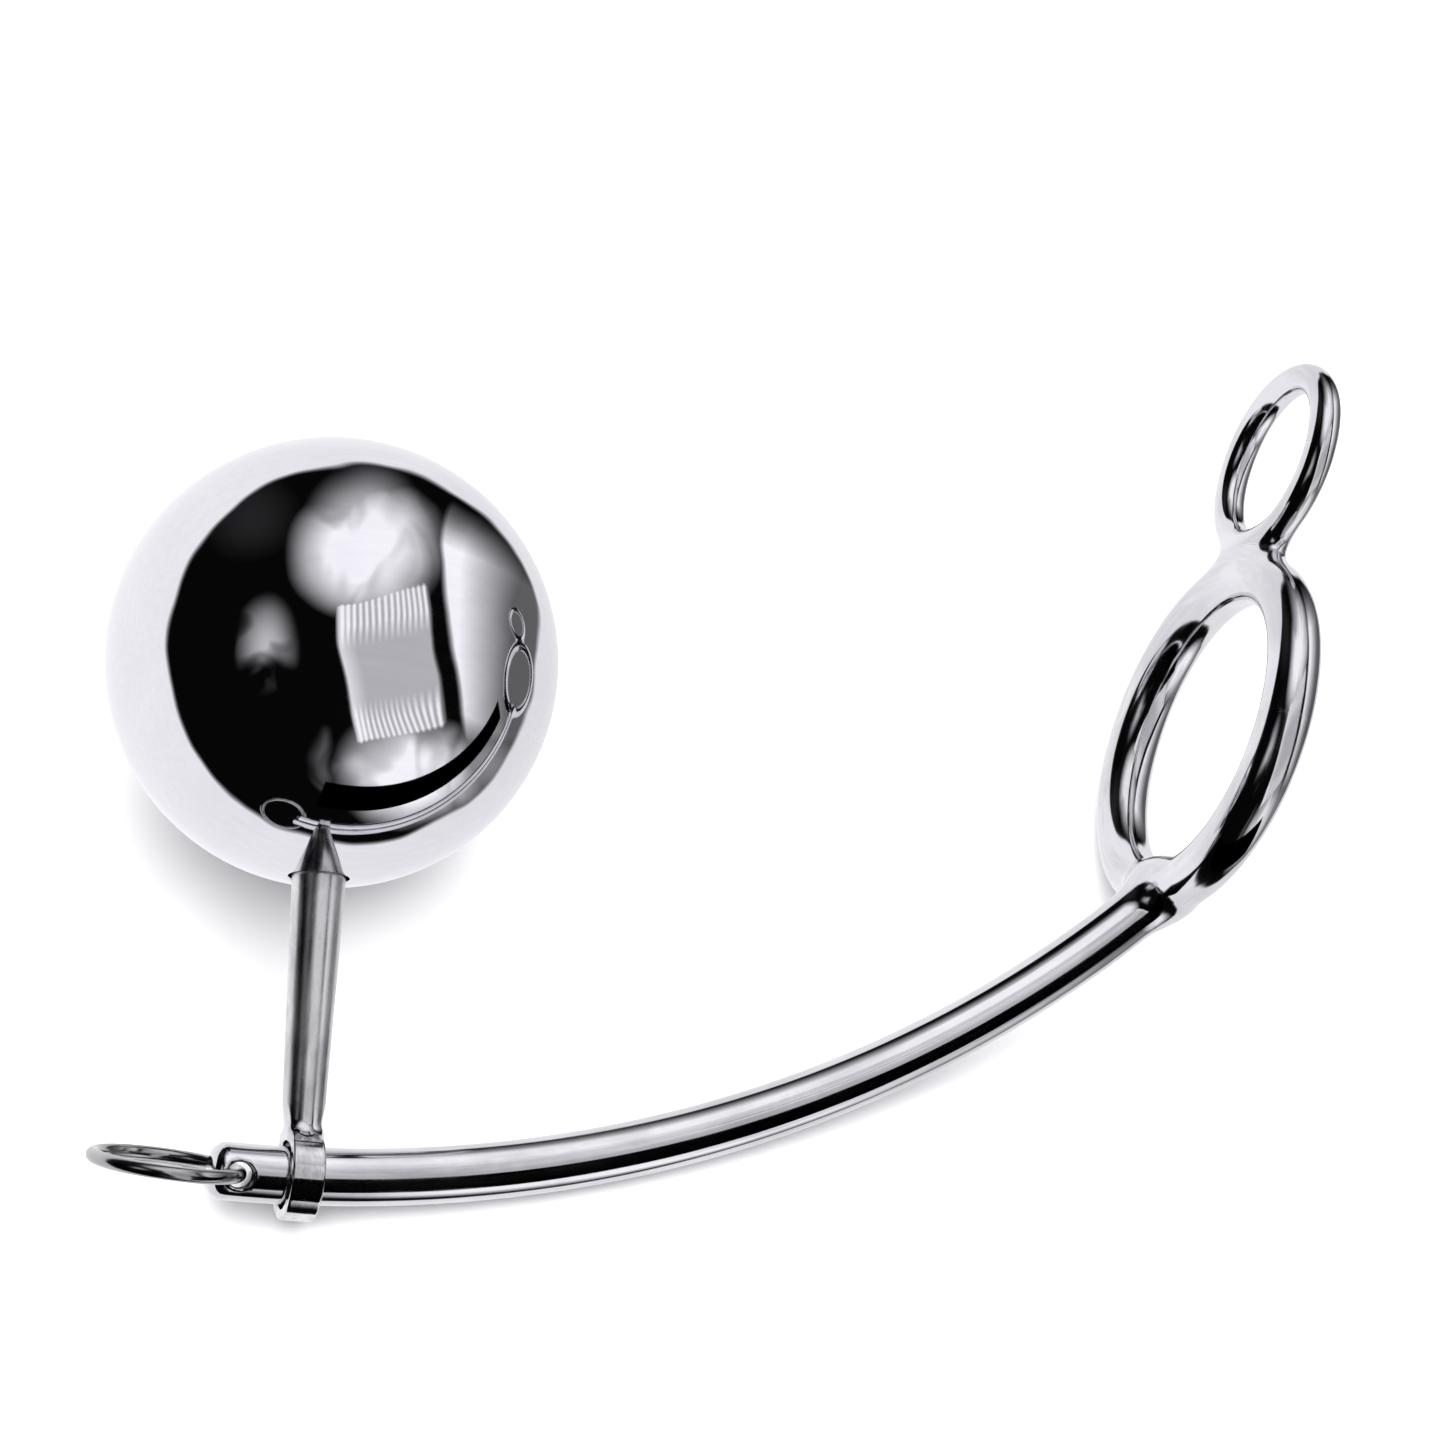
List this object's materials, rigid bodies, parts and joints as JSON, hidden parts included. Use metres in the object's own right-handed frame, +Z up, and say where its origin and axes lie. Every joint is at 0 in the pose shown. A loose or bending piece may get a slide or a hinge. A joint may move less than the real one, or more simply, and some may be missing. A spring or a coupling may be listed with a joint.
{
  "type": "ball and ring steel hook",
  "caption": "Polished steel adult body-wear hook: a hollow ball on a tapered stem that slides and swings on a curved bar with a large ring, a small ring and a wire end ring.",
  "frame": {"origin": "on the surface the hook lies on, under the middle of its bounding box", "axes": "+Z up from that surface, +X from the wire ring towards the big ring, +Y from the bar towards the ball"},
  "size_m": [0.1896, 0.1226, 0.065],
  "materials": {
    "mirror_steel": "mirror polished stainless steel",
    "polished_steel": "polished stainless steel with fine lengthwise polishing lines",
    "satin_steel": "ground stainless steel, half polished, with fine scratches",
    "wire_steel": "drawn stainless steel wire, bright"
  },
  "bodies": {
    "frame": {"curved_bar": "polished_steel", "bar_weld": "polished_steel", "big_ring": "polished_steel", "small_ring": "polished_steel", "ring_weld_left": "polished_steel", "ring_weld_right": "polished_steel"},
    "eye": {"stem_eye": "satin_steel"},
    "stem": {"stem_neck": "satin_steel", "stem_rod": "satin_steel", "stem_thread": "satin_steel"},
    "ball": {"ball_shell": "mirror_steel", "ball_bush": "satin_steel"},
    "wire_ring": {"end_ring": "wire_steel"}
  },
  "joints": [
    {"name": "eye_travel", "type": "hinge", "parent": "frame", "child": "eye", "pos_m": [-0.05418, 0.11703, 0.10792], "axis": [0.0959, -0.5105, 0.8545], "range_deg": [-1.3, 36]},
    {"name": "stem_swing", "type": "hinge", "parent": "eye", "child": "stem", "pos_m": [-0.06556, -0.05494, 0.00645], "axis": [0.9903, -0.0375, -0.1335], "continuous": true},
    {"name": "ball_turn", "type": "hinge", "parent": "stem", "child": "ball", "pos_m": [-0.05942, 0.0146, 0.03247], "axis": [0.0824, 0.9334, 0.3492], "continuous": true},
    {"name": "end_ring_swing", "type": "hinge", "parent": "frame", "child": "wire_ring", "pos_m": [-0.07449, -0.05477, 0.00755], "axis": [-0.0882, 0.6115, -0.7863], "range_deg": [-84, 76]}
  ]
}
